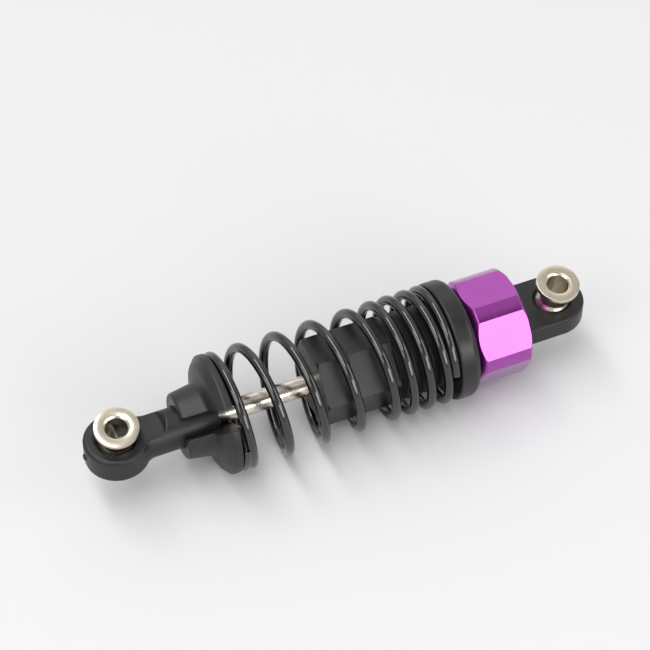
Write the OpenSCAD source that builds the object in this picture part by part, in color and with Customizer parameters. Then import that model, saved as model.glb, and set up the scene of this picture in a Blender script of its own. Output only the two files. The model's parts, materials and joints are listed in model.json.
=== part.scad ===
// Miniature oil-filled coilover: a sealed damper inside a progressive coil spring, with a swivelling
// pivot ball at each end. It lies along X, fully extended: the upper pivot ball is centred on the
// origin, the lower one is towards -X, and the bolts run roughly along Z. Millimetres.

/* [Damper] */
// Travel of the rod from full extension to full bump
stroke = 11.5; // [8:0.5:14]
// Bore of the barrel that the piston runs in
bore_d = 9.6; // [8:0.1:12]
// Oil space kept between the rod's tip and the bladder at full bump
oil_gap = 2.0; // [0.5:0.1:3]
// Room left between the perch and the cartridge cap at full bump
bump_gap = 1.2; // [0.3:0.1:3]

/* [Barrel] */
// Wall of the barrel at the flats of its hexagonal part
barrel_wall = 0.8; // [0.7:0.1:2]
// Length of the hexagonal part above the cartridge cap
hex_len = 6.6; // [4:0.1:8]
// Wall of the round threaded part, to the thread's crest
thread_wall = 1.4; // [1.2:0.1:1.6]
// Pitch of the collar's thread
thread_pitch = 0.9; // [0.6:0.1:1.5]
// Depth of the collar's thread
thread_depth = 0.3; // [0.2:0.05:0.4]
// Wall of the neck that screws into the cap
neck_wall = 0.7; // [0.5:0.1:0.9]
// Length of the neck that screws into the cap
neck_len = 3.2; // [2.5:0.1:5]

/* [Rod seals] */
// Diameter of the O-rings' section
seal_section = 1.5; // [1.3:0.1:1.7]
// Thickness of each rod guide washer
guide_len = 0.8; // [0.6:0.1:1.5]
// Thickness of the washer between the two O-rings
spacer_len = 0.6; // [0.5:0.1:1.5]
// Wall between the seal chamber and the oil
partition = 0.8; // [0.6:0.1:1.5]
// Wall of the threaded spigot around the seals
spigot_wall = 1.1; // [0.8:0.1:1.2]
// Length of the spigot inside the cartridge cap
spigot_len = 3.8; // [2.5:0.1:4.5]
// Thickness of the cartridge cap's end wall
cart_wall = 0.8; // [0.6:0.1:1.5]
// Chamfer around the cartridge cap's lower end
cart_chamfer = 0.35; // [0.2:0.05:1]

/* [Piston] */
// Thickness of the piston
piston_len = 2.0; // [1.5:0.1:4]
// Diameter of the piston's oil holes
oil_hole_d = 1.1; // [0.8:0.1:1.4]
// Number of oil holes
oil_holes = 3; // [2:1:5]
// Thickness of each retaining clip
clip_len = 0.5; // [0.4:0.1:0.8]
// Depth of the rod's groove for the clips and the piston
clip_groove = 0.35; // [0.2:0.05:0.5]
// Distance that each clip stands out past the rod
clip_stand = 0.9; // [0.6:0.1:1.2]
// Play between the lower clip and the seal wall at full extension
piston_gap = 0.3; // [0.2:0.1:1]

/* [Rod] */
// Diameter of the piston rod
rod_d = 3.0; // [2.5:0.1:3.6]
// Length of the rod's thread inside the lower eye
rod_grip = 4.5; // [3:0.1:6]

/* [Bladder] */
// Thickness of the bladder's clamped rim
bladder_rim = 0.8; // [0.6:0.1:1.2]
// Thickness of the bladder's skin
bladder_skin = 0.5; // [0.4:0.1:0.8]
// Distance that the bladder's cup is kept inside the bore
bladder_inset = 0.4; // [0.3:0.1:0.8]
// Depth that the bladder dips into the oil
bladder_dip = 1.9; // [1.2:0.1:3]

/* [Cap] */
// Width of the cap's wall, from the neck to each flat
cap_side = 1.73; // [1.3:0.05:2.5]
// Distance that the corners stand out past the flats, across the cap
cap_corner = 1.1; // [0.8:0.05:2]
// Depth of the air space behind the bladder
air_depth = 1.2; // [0.8:0.1:3]
// Thickness of the cap's end wall
cap_wall = 3.0; // [2:0.1:5]
// Chamfer at the cap's spring end
cap_chamfer = 0.95; // [0.5:0.05:1.1]
// Chamfer at the cap's outer end
cap_edge = 0.45; // [0.2:0.05:0.6]
// Turn of the cap about the damper's axis
cap_turn = 24; // [0:1:60]
// Turn of the barrel about the damper's axis
barrel_turn = 18; // [0:1:60]

/* [Spring collar] */
// Width of the collar
collar_len = 3.15; // [2.6:0.05:5]
// Gap between the collar and the cap
collar_gap = 0.2; // [0.1:0.1:4]
// Height of the rounded edge next to the cap
collar_round = 1.1; // [0.5:0.1:1.4]
// Section of the friction ring inside the collar
grip_section = 0.9; // [0.7:0.05:1.1]

/* [Spring] */
// Diameter of the spring wire
wire_d = 1.4; // [1:0.1:1.6]
// Gap between the barrel's corners and the spring
spring_gap = 0.83; // [0.5:0.01:1.5]
// Pitch of the close turns at the upper end
tight_pitch = 2.64; // [2:0.01:3.2]
// Turns wound at the wide pitch
wide_turns = 3.7; // [3:0.01:4]
// Turns wound at the tight pitch
tight_turns = 2.95; // [2:0.01:3.2]

/* [Pivot balls] */
// Diameter of each pivot ball
ball_d = 5.8; // [5.4:0.1:6.6]
// Bolt hole through each pivot ball
bolt_hole_d = 3.1; // [2.6:0.1:3.2]
// Diameter of the neck between ball and flange
neck_d = 4.0; // [3.9:0.1:4.4]
// Diameter of the flange
flange_d = 6.3; // [5.4:0.1:7]
// Thickness of the flange
flange_len = 0.8; // [0.6:0.1:1.6]
// Height of the flange's top above the ball's centre
flange_top = 5.6; // [5:0.1:6]
// Depth of the ball's base below its centre
ball_base = 2.2; // [1.8:0.1:2.3]
// Lean of the lower ball towards -Y
lower_lean = 10; // [0:1:12]
// Lean of the upper ball towards -Y
upper_lean = 8; // [0:1:12]
// Lean of the upper ball towards +X
upper_lean_x = 3; // [0:1:5]

/* [Eyes] */
// Wall of plastic around each ball
eye_wall = 1.7; // [1.3:0.1:2.2]
// Thickness of the lower eye
lower_eye_t = 4.2; // [3.4:0.1:4.6]
// Thickness of the upper eye
upper_eye_t = 3.2; // [2.8:0.1:3.8]
// Height of the spherical seat inside each eye
race_h = 2.4; // [2:0.1:2.6]
// Distance from the upper ball's centre to the cap
upper_reach = 6.6; // [5.6:0.1:9]
// Diameter of the upper eye's stem inside the cap
stem_d = 4.6; // [3.6:0.1:5]
// Distance from the lower ball's centre to the end of the shank
lower_reach = 14.4; // [13:0.1:18]
// Wall of the shank around the rod
shank_wall = 1.5; // [1.2:0.1:1.8]
// Radius around the lower ball that the shank is cut back to
scoop_r = 6.8; // [6:0.1:7.6]

/* [Spring perch] */
// Wall of the perch's hub around the shank
hub_wall = 1.7; // [1.2:0.1:2.2]
// Growth of the hub's radius towards the disc
hub_taper = 0.55; // [0.2:0.05:1]
// Length of the hub in front of the disc
hub_len = 3.7; // [3:0.1:6]
// Length of the rounded edge behind the rim
disc_round = 1.0; // [0.5:0.1:2]
// Length of the sloping back of the disc
disc_slope = 0.7; // [0.4:0.1:2]
// Thickness of the disc's rim
rim_len = 1.1; // [0.8:0.1:2.5]
// Thickness of the web between the shank's end and the spring seat
web_len = 1.0; // [0.8:0.1:3]
// Height of the ring that centres the spring
lip_len = 0.9; // [0.5:0.1:1.3]
// Width of the slot that slips over the rod
slot_w = 3.15; // [2.7:0.05:3.6]
// Direction that the slot faces, turned up from the horizontal on the -Y side
slot_turn = 43; // [0:1:90]

/* [Fits] */
// Radial clearance where one piece runs in another
run_fit = 0.05; // [0.02:0.01:0.1]
// Radial clearance of the seals on what slides through them
seal_fit = 0.02; // [0.01:0.01:0.05]
// Radial clearance between screwed pieces
screw_fit = 0.02; // [0.01:0.01:0.05]

/* [Hidden] */
$fn = 96;

eps = 0.01;

// Radii of the barrel and what surrounds it
bore_r = bore_d / 2;
hex_af = bore_d + 2 * barrel_wall;
hex_corner_r = hex_af / 2 / cos(30);
thread_r = bore_r + thread_wall;
neck_r = bore_r + neck_wall;
cap_af = 2 * (neck_r + cap_side);
cap_r = (cap_af + cap_corner) / 2;
spring_r = hex_corner_r + spring_gap + wire_d;
coil_r = spring_r - wire_d / 2;
seat_air = 0.05;

// Radii around the rod
rod_r = rod_d / 2;
rod_hole_r = rod_r + run_fit;
bladder_r = bore_r - bladder_inset;
chamber_r = rod_r + seal_section;
spigot_r = chamber_r + spigot_wall;
shank_r = rod_r + shank_wall;
hub_r = shank_r + run_fit + hub_wall;
hub_top_r = hub_r + hub_taper;
groove_r = rod_r - clip_groove;
clip_r = rod_r + clip_stand;
ball_r = ball_d / 2;
eye_r = ball_r + eye_wall;

// Stations along X, from the upper end down
cap_top = -upper_reach;
air_floor = cap_top - cap_wall;
rim_top = air_floor - air_depth;
neck_top = rim_top - bladder_rim;
cap_foot = neck_top - neck_len;
collar_top = cap_foot - collar_gap;
collar_foot = collar_top - collar_len;
bladder_tip = neck_top - bladder_dip;
piston_stack = 2 * clip_len + piston_len;
rod_tip_len = 0.5;
rod_tip = bladder_tip - oil_gap - stroke;
clip_top = rod_tip - rod_tip_len;
clip_foot = clip_top - piston_stack;
bore_foot = clip_foot - piston_gap;
chamber_top = bore_foot - partition;
chamber_len = 2 * guide_len + 2 * seal_section + spacer_len;
chamber_foot = chamber_top - chamber_len;
cart_foot = chamber_foot - cart_wall;
cart_top = chamber_foot + spigot_len;
hex_top = cart_top + hex_len;
shank_end = cart_foot - stroke - bump_gap - lip_len - web_len;
lower_x = shank_end - lower_reach;
seat_x = shank_end + web_len;
rim_x = seat_x - rim_len;
hub_top = rim_x - disc_round - disc_slope;
hub_foot = hub_top - hub_len;

// Coil spring: dead first and last turns, a wide-pitched part and a tight-pitched part
first_angle = -185;
dead_turns = 0.66;
blend_turns = 0.45;
last_turns = 0.32;
wide_start = dead_turns;
tight_start = wide_start + blend_turns + wide_turns;
flat_start = tight_start + blend_turns + tight_turns;
total_turns = flat_start + blend_turns + last_turns;
coil_foot = seat_x + wire_d / 2 + seat_air;
coil_top = collar_foot - wire_d / 2 - seat_air;
tight_rise = tight_pitch * (flat_start - tight_start);
wide_pitch = (coil_top - coil_foot - tight_rise) / (tight_start - wide_start);
steps_per_turn = 30;
wire_sides = 12;

// Turns run through since a pitch began to build up at turn a, blending in smoothly
function run_up(u, a) =
    u < a ? 0 : u < a + blend_turns ? pow(u - a, 2) / (2 * blend_turns) : u - a - blend_turns / 2;

// Station along X of the spring wire's centre after u turns
function coil_x(u) =
    coil_foot
    + wide_pitch * (run_up(u, wide_start) - run_up(u, tight_start))
    + tight_pitch * (run_up(u, tight_start) - run_up(u, flat_start));

// Turned solid about the X axis: each point is [station along X, radius]
module turned(points, angle = 360) {
    rotate([0, 90, 0])
        rotate_extrude(angle = angle)
            polygon([for (p = points) [p[1], p[0]]]);
}

// Plain round bar or hole from x0 to x1
module bar(x0, x1, r) {
    translate([x0, 0, 0])
        rotate([0, 90, 0])
            cylinder(h = x1 - x0, r = r);
}

// Washer from x0 to x1
module washer(x0, x1, outer, inner) {
    difference() {
        bar(x0, x1, outer);
        bar(x0 - eps, x1 + eps, inner);
    }
}

// Hexagonal bar from x0 to x1, measured across its flats
module hex_bar(x0, x1, across, turn) {
    translate([x0, 0, 0])
        rotate([0, 90, 0])
            rotate([0, 0, turn])
                cylinder(h = x1 - x0, r = across / 2 / cos(30), $fn = 6);
}

// Rubber ring of round section around the X axis
module o_ring(x, inner, section) {
    translate([x, 0, 0])
        rotate([0, 90, 0])
            rotate_extrude()
                translate([inner + section / 2, 0])
                    circle(d = section, $fn = 48);
}

module cylinder_body() {
    crest = thread_r;
    root = thread_r - thread_depth;
    ridges = floor((cap_foot - hex_top) / thread_pitch);
    color("#1d1d1f")
        difference() {
            union() {
                bar(chamber_foot, cart_top + eps, spigot_r);
                hex_bar(cart_top, hex_top, hex_af, barrel_turn);
                bar(hex_top - eps, cap_foot, root);
                for (i = [0 : ridges - 1])
                    turned([
                        [cap_foot - (i + 0.9) * thread_pitch, root - eps],
                        [cap_foot - (i + 0.62) * thread_pitch, crest],
                        [cap_foot - (i + 0.38) * thread_pitch, crest],
                        [cap_foot - (i + 0.1) * thread_pitch, root - eps]
                    ]);
                bar(cap_foot - eps, neck_top, neck_r);
            }
            bar(chamber_foot - eps, chamber_top, chamber_r);
            bar(chamber_top - eps, bore_foot + eps, rod_hole_r);
            bar(bore_foot, neck_top + eps, bore_r);
        }
}

module cylinder_cap() {
    mouth_r = neck_r + screw_fit;
    chamfer_r = cap_r - cap_chamfer;
    vent_d = 0.8;
    vent_wall = 1.2;
    color("#6d1f93")
        difference() {
            intersection() {
                hex_bar(cap_foot, cap_top, cap_af, cap_turn);
                turned([
                    [cap_foot, 0],
                    [cap_foot, chamfer_r],
                    [cap_foot + cap_chamfer, cap_r],
                    [cap_top - cap_edge, cap_r],
                    [cap_top, cap_r - cap_edge],
                    [cap_top, 0]
                ]);
            }
            bar(cap_foot - eps, rim_top, mouth_r);
            bar(rim_top - eps, air_floor, bladder_r);
            bar(air_floor - eps, cap_top + eps, stem_d / 2 + screw_fit);
            translate([0, 0, stem_d / 2 + vent_wall])
                bar(air_floor - eps, cap_top + eps, vent_d / 2);
        }
}

// Flat eye of thickness t around the origin, with a spherical seat relieved at both faces
module eye_seat(t) {
    seat_r = ball_r + run_fit;
    mouth_r = sqrt(pow(seat_r, 2) - pow(race_h / 2, 2));
    relief = t / 2 - race_h / 2;
    sphere(r = seat_r);
    for (side = [0, 1])
        mirror([0, 0, side])
            translate([0, 0, race_h / 2])
                cylinder(h = relief + eps, r1 = mouth_r, r2 = mouth_r + relief / 2);
}

module upper_eye() {
    color("#19191b")
        difference() {
            union() {
                cylinder(h = upper_eye_t, r = eye_r, center = true);
                translate([cap_top, -eye_r, -upper_eye_t / 2])
                    cube([upper_reach, 2 * eye_r, upper_eye_t]);
                bar(air_floor, cap_top + eps, stem_d / 2);
            }
            eye_seat(upper_eye_t);
        }
}

// Flanged ball about Z, with its bolt hole
module pivot_ball() {
    edge = 0.15;
    chamfer = 0.3;
    base_r = sqrt(pow(ball_r, 2) - pow(ball_base, 2));
    color("#c9c3b8")
        difference() {
            union() {
                intersection() {
                    sphere(r = ball_r);
                    translate([-ball_r, -ball_r, -ball_base])
                        cube([ball_d, ball_d, ball_d]);
                }
                cylinder(h = flange_top - edge, d = neck_d);
                rotate_extrude()
                    polygon([
                        [0, flange_top - flange_len],
                        [flange_d / 2 - edge, flange_top - flange_len],
                        [flange_d / 2, flange_top - flange_len + edge],
                        [flange_d / 2, flange_top - edge],
                        [flange_d / 2 - edge, flange_top],
                        [0, flange_top]
                    ]);
            }
            translate([0, 0, -ball_base - 1])
                cylinder(h = ball_base + flange_top + 2, d = bolt_hole_d);
            translate([0, 0, flange_top - chamfer])
                cylinder(h = chamfer + eps, d1 = bolt_hole_d, d2 = bolt_hole_d + 2 * chamfer);
        }
}

module upper_pivot_ball() {
    rotate([upper_lean, upper_lean_x, 0])
        pivot_ball();
}

module lower_pivot_ball() {
    translate([lower_x, 0, 0])
        rotate([lower_lean, 0, 0])
            pivot_ball();
}

module spring_collar() {
    inner = thread_r + run_fit;
    lead = 0.35;
    groove_x = collar_foot + collar_len / 2;
    groove_r = inner + grip_section;
    color("#202022")
        difference() {
            rotate([0, 90, 0])
                rotate_extrude() {
                    polygon([
                        [inner, collar_foot],
                        [spring_r - lead, collar_foot],
                        [spring_r, collar_foot + lead],
                        [spring_r, collar_top - collar_round],
                        [spring_r - collar_round, collar_top],
                        [inner, collar_top]
                    ]);
                    translate([spring_r - collar_round, collar_top - collar_round])
                        intersection() {
                            circle(r = collar_round);
                            square(collar_round);
                        }
                }
            washer(groove_x - grip_section / 2 - run_fit, groove_x + grip_section / 2 + run_fit,
                groove_r + run_fit, inner - eps);
        }
}

module collar_friction_ring() {
    color("#101010")
        o_ring(collar_foot + collar_len / 2, thread_r + seal_fit, grip_section);
}

module bladder() {
    rim_r = neck_r - 0.1;
    shoulder_r = bladder_r - 0.3;
    shoulder_x = bladder_tip + 0.6;
    tip_r = bladder_r - 0.9;
    skin = bladder_skin;
    color("#262626")
        turned([
            [rim_top, rim_r],
            [neck_top, rim_r],
            [neck_top, bladder_r],
            [shoulder_x, shoulder_r],
            [bladder_tip, tip_r],
            [bladder_tip, 0],
            [bladder_tip + skin, 0],
            [bladder_tip + skin, tip_r - skin / 2],
            [shoulder_x + skin / 2, shoulder_r - skin],
            [rim_top, bladder_r - skin]
        ]);
}

module cartridge_cap() {
    mouth_r = spigot_r + screw_fit;
    end_r = hex_corner_r - cart_chamfer;
    cone = 2 * cart_chamfer;
    rod_room = 0.3;
    color("#161618")
        difference() {
            intersection() {
                hex_bar(cart_foot, cart_top, hex_af, barrel_turn);
                turned([
                    [cart_foot, 0],
                    [cart_foot, end_r],
                    [cart_foot + cone, end_r + cone],
                    [cart_top, end_r + cone],
                    [cart_top, 0]
                ]);
            }
            bar(chamber_foot, cart_top + eps, mouth_r);
            bar(cart_foot - eps, chamber_foot + eps, rod_r + rod_room);
        }
}

module rod_guide_lower() {
    color("#e4e0d4")
        washer(chamber_foot, chamber_foot + guide_len, chamber_r, rod_hole_r);
}

module rod_seal_lower() {
    color("#a23a2a")
        o_ring(chamber_foot + guide_len + seal_section / 2, rod_r + seal_fit,
            seal_section - seal_fit);
}

module rod_seal_spacer() {
    x = chamber_foot + guide_len + seal_section;
    color("#d8d4c8")
        washer(x, x + spacer_len, chamber_r, rod_hole_r);
}

module rod_seal_upper() {
    color("#a23a2a")
        o_ring(chamber_top - guide_len - seal_section / 2, rod_r + seal_fit,
            seal_section - seal_fit);
}

module rod_guide_upper() {
    color("#e4e0d4")
        washer(chamber_top - guide_len, chamber_top, chamber_r, rod_hole_r);
}

module piston() {
    x0 = clip_foot + clip_len;
    x1 = x0 + piston_len;
    waist = 0.4;
    hole_ring_r = (rod_r + bore_r) / 2;
    color("#f0efe9")
        difference() {
            turned([
                [x0, groove_r],
                [x0, bore_r - run_fit],
                [x0 + piston_len / 3, bore_r - run_fit],
                [x0 + piston_len / 3 + 0.2, bore_r - waist],
                [x1 - piston_len / 3 - 0.2, bore_r - waist],
                [x1 - piston_len / 3, bore_r - run_fit],
                [x1, bore_r - run_fit],
                [x1, groove_r]
            ]);
            for (i = [0 : oil_holes - 1])
                rotate([i * 360 / oil_holes, 0, 0])
                    translate([x0 - eps, 0, hole_ring_r])
                        rotate([0, 90, 0])
                            cylinder(h = piston_len + 2 * eps, d = oil_hole_d, $fn = 32);
        }
}

// Split retaining clip in the rod's groove, from x0 upwards
module rod_clip(x0) {
    clip_gap = 70;
    color("#8f8f92")
        rotate([90 + clip_gap / 2, 0, 0])
            turned([
                [x0, groove_r],
                [x0, clip_r],
                [x0 + clip_len, clip_r],
                [x0 + clip_len, groove_r]
            ], 360 - clip_gap);
}

module piston_clip_lower() {
    rod_clip(clip_foot);
}

module piston_clip_upper() {
    rod_clip(clip_top - clip_len);
}

module piston_rod() {
    start = shank_end - rod_grip;
    point = 0.3;
    color("#d2ccc0")
        turned([
            [start, 0],
            [start, rod_r - point],
            [start + point, rod_r],
            [clip_foot, rod_r],
            [clip_foot, groove_r],
            [clip_top, groove_r],
            [clip_top, rod_r],
            [rod_tip - point, rod_r],
            [rod_tip, rod_r - point],
            [rod_tip, 0]
        ]);
}

module lower_eye() {
    side = 0.55;
    half = lower_eye_t / 2;
    gate_r = 0.45;
    gate_len = 0.3;
    lead = 0.3;
    tip_room = 0.4;
    color("#151517")
        difference() {
            union() {
                translate([lower_x, 0, 0]) {
                    rotate_extrude()
                        polygon([
                            [0, -half],
                            [eye_r - side, -half],
                            [eye_r, -half + side],
                            [eye_r, half - side],
                            [eye_r - side, half],
                            [0, half]
                        ]);
                    translate([-eye_r - gate_len, 0, 0])
                        rotate([0, 90, 0])
                            cylinder(h = 1, r = gate_r, $fn = 24);
                }
                turned([
                    [lower_x, 0],
                    [lower_x, shank_r],
                    [shank_end - lead, shank_r],
                    [shank_end, shank_r - lead],
                    [shank_end, 0]
                ]);
            }
            for (face = [0, 1])
                mirror([0, 0, face])
                    translate([lower_x, 0, half])
                        cylinder(h = shank_r, r = scoop_r);
            translate([lower_x, 0, 0])
                eye_seat(lower_eye_t);
            bar(shank_end - rod_grip - tip_room, shank_end + eps, rod_r);
        }
}

module lower_spring_perch() {
    edge = 0.25;
    lip_air = 0.25;
    lip_r = coil_r - wire_d / 2 - lip_air;
    cup_r = shank_r + run_fit;
    // The disc's back slopes out from the hub, and then rounds over to the rim
    round_h = disc_round * 1.1;
    back_r = spring_r - round_h;
    color("#1b1b1d")
        difference() {
            turned([
                [hub_foot, 0],
                [hub_foot, hub_r - edge],
                [hub_foot + edge, hub_r],
                [hub_top, hub_top_r],
                [rim_x - disc_round, back_r],
                [rim_x - disc_round * 0.8, back_r + round_h * 0.45],
                [rim_x - disc_round * 0.4, back_r + round_h * 0.85],
                [rim_x, spring_r],
                [seat_x - edge, spring_r],
                [seat_x, spring_r - edge],
                [seat_x, lip_r],
                [seat_x + lip_len, lip_r - edge],
                [seat_x + lip_len, 0]
            ]);
            bar(hub_foot - eps, shank_end, cup_r);
            bar(shank_end - eps, seat_x + lip_len + eps, rod_hole_r);
            rotate([180 - slot_turn, 0, 0])
                translate([hub_foot - 1, 0, -slot_w / 2])
                    cube([seat_x - hub_foot + 4, spring_r + 1, slot_w]);
        }
}

module coil_spring() {
    rings = ceil(total_turns * steps_per_turn);
    sides = wire_sides;
    // Wire centres, with the section tilted to stay square to the wire
    points = [
        for (i = [0 : rings])
            let (
                u = total_turns * i / rings,
                a = first_angle + 360 * u,
                du = 0.001,
                slope = atan((coil_x(u + du) - coil_x(u - du)) / (2 * du) / (2 * PI * coil_r))
            )
            for (j = [0 : sides - 1])
                let (
                    s = 360 * j / sides,
                    out = wire_d / 2 * cos(s),
                    up = wire_d / 2 * sin(s)
                )
                [
                    coil_x(u) + up * cos(slope),
                    (coil_r + out) * cos(a) + up * sin(slope) * sin(a),
                    (coil_r + out) * sin(a) - up * sin(slope) * cos(a)
                ]
    ];
    walls = [
        for (i = [0 : rings - 1])
            for (j = [0 : sides - 1])
                [
                    i * sides + j,
                    i * sides + (j + 1) % sides,
                    (i + 1) * sides + (j + 1) % sides,
                    (i + 1) * sides + j
                ]
    ];
    start_face = [for (j = [sides - 1 : -1 : 0]) j];
    end_face = [for (j = [0 : sides - 1]) rings * sides + j];
    color("#121214")
        polyhedron(points, concat([start_face], walls, [end_face]), convexity = 20);
}

cylinder_body();
cylinder_cap();
upper_eye();
upper_pivot_ball();
spring_collar();
collar_friction_ring();
bladder();
cartridge_cap();
rod_guide_lower();
rod_seal_lower();
rod_seal_spacer();
rod_seal_upper();
rod_guide_upper();
piston();
piston_clip_lower();
piston_clip_upper();
piston_rod();
lower_eye();
lower_pivot_ball();
lower_spring_perch();
coil_spring();
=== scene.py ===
import json
from math import atan2, ceil, cos, radians, sin, sqrt, tau

import bmesh
import bpy
from mathutils import Matrix, Vector


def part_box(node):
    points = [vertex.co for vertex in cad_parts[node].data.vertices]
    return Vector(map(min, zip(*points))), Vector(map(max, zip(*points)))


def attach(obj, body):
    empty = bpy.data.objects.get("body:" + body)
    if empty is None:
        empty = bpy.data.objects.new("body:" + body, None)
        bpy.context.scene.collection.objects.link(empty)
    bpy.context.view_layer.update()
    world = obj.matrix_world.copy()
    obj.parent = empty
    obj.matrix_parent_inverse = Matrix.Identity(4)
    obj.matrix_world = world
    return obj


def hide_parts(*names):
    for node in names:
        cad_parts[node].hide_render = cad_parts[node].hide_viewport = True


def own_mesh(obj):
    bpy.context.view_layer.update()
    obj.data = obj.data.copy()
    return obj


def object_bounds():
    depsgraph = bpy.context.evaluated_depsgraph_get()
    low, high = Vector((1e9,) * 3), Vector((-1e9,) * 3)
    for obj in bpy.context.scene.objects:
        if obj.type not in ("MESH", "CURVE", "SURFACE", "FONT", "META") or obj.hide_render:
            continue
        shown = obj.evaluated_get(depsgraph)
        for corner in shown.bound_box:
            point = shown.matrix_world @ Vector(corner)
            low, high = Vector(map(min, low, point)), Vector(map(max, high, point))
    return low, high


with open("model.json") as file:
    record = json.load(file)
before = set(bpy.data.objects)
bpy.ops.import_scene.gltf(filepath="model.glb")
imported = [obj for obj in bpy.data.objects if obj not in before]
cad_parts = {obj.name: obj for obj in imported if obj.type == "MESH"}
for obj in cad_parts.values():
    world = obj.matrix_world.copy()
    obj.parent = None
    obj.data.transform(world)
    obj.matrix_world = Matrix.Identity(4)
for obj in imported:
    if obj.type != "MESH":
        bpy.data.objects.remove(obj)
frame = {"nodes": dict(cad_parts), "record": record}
cad_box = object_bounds()


# ---- Camera and studio ----------------------------------------------------------------------
# A long lens looks down on the damper from its lower left. It lies on plain pale paper, under a
# broad tube light, with softboxes low in front, behind, on the left and on the right.
camera_at = Vector((-0.11602, -0.19039, 0.24949))
camera_aim = Vector((-0.03554, 0.0, 0.0116))
light_reach = 0.6
X_AXIS = Vector((1, 0, 0))
lens = bpy.data.cameras.new("camera")
lens.lens = 127.35
lens.sensor_width = 36.0
camera = bpy.data.objects.new("camera", lens)
camera.location = camera_at
camera.rotation_euler = (camera_aim - camera_at).to_track_quat("-Z", "Y").to_euler()
bpy.context.scene.collection.objects.link(camera)
bpy.context.scene.camera = camera
bpy.context.scene.view_settings.view_transform = "Standard"


def softbox(name, towards, width, height, radiance):
    """A soft light that faces the middle of the damper, its width lying along X."""
    light = bpy.data.lights.new(name, "AREA")
    light.shape = "RECTANGLE"
    light.size, light.size_y = width, height
    light.energy = radiance * width * height * tau / 2
    lamp = bpy.data.objects.new(name, light)
    out = Vector(towards).normalized()
    lamp.location = camera_aim + out * light_reach
    side = (X_AXIS - out * X_AXIS.dot(out)).normalized()
    lamp.rotation_euler = Matrix((side, out.cross(side), out)).transposed().to_euler()
    bpy.context.scene.collection.objects.link(lamp)


softbox("front_softbox", (0.26, -0.91, 0.34), 0.42, 0.26, 4.4)
softbox("back_softbox", (0.26, 0.75, 0.60), 0.60, 0.36, 0.5)
softbox("left_softbox", (-0.72, -0.30, 0.62), 0.30, 0.40, 2.6)
softbox("right_softbox", (0.75, -0.45, 0.50), 0.34, 0.34, 2.0)
softbox("overhead_tube", (-0.22, 0.08, 0.97), 0.14, 0.85, 7.5)


def linear(code):
    """The linear colour of an sRGB hex value."""
    parts = [int(code[i:i + 2], 16) / 255 for i in (0, 2, 4)]
    return [p / 12.92 if p <= 0.04045 else ((p + 0.055) / 1.055) ** 2.4 for p in parts] + [1.0]


def add(material, kind, inputs=None, **settings):
    """Adds one node to a material or a world, with settings, and values or links on its inputs."""
    node = material.node_tree.nodes.new(kind)
    for name, value in settings.items():
        setattr(node, name, value)
    for socket, value in (inputs or {}).items():
        if isinstance(value, bpy.types.NodeSocket):
            material.node_tree.links.new(value, node.inputs[socket])
        else:
            node.inputs[socket].default_value = value
    return node


def finish_named(name):
    """An empty material and its shader."""
    material = bpy.data.materials.new(name)
    material.use_nodes = True
    return material, material.node_tree.nodes["Principled BSDF"]


def link(material, output, shader_input):
    material.node_tree.links.new(output, shader_input)


# The room is pale all round, and dark only where somebody leans over the table to look
walls = bpy.data.worlds.new("pale_walls")
walls.use_nodes = True
leaning_over = Vector((0.20, -0.53, 0.82)).normalized()
sky = add(walls, "ShaderNodeTexCoord").outputs["Generated"]
facing = add(walls, "ShaderNodeVectorMath", {0: sky, 1: leaning_over}, operation="DOT_PRODUCT")
shade = add(walls, "ShaderNodeMapRange",
            {"Value": facing.outputs["Value"], "From Min": cos(radians(21)),
             "From Max": cos(radians(11)), "To Min": 0.64, "To Max": 0.15})
room = walls.node_tree.nodes["Background"]
link(walls, shade.outputs["Result"], room.inputs["Strength"])
room.inputs["Color"].default_value = (1.0, 0.99, 0.985, 1.0)
bpy.context.scene.world = walls

# Background paper, pale and matt: an even floor that takes a soft contact shadow
paper, shader = finish_named("matt_pale_paper")
shader.inputs["Base Color"].default_value = linear("C8C8C9")
shader.inputs["Roughness"].default_value = 0.9
shader.inputs["Specular IOR Level"].default_value = 0.2
floor_mesh = bmesh.new()
bmesh.ops.create_grid(floor_mesh, x_segments=1, y_segments=1, size=2.0)
bmesh.ops.translate(floor_mesh, verts=floor_mesh.verts, vec=(0, 0, cad_box[0].z))
floor = bpy.data.objects.new("paper_floor", bpy.data.meshes.new("paper_floor"))
floor_mesh.to_mesh(floor.data)
floor_mesh.free()
floor.data.materials.append(paper)
bpy.context.scene.collection.objects.link(floor)


# ---- Barrel: cylinder_body ------------------------------------------------------------------
# The damper's barrel is one moulding of black glass-filled nylon: a hexagon for a spanner below,
# a round threaded part for the spring collar above, a neck that screws into the cap, and a spigot
# that holds the rod's seals.
MM = 0.001  # pieces are modelled in millimetres and brought to metres at the end
TURN_STEPS = 144


def span(node):
    """A CAD node's lowest and highest corner, in millimetres."""
    low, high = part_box(node)
    return low / MM, high / MM


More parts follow.
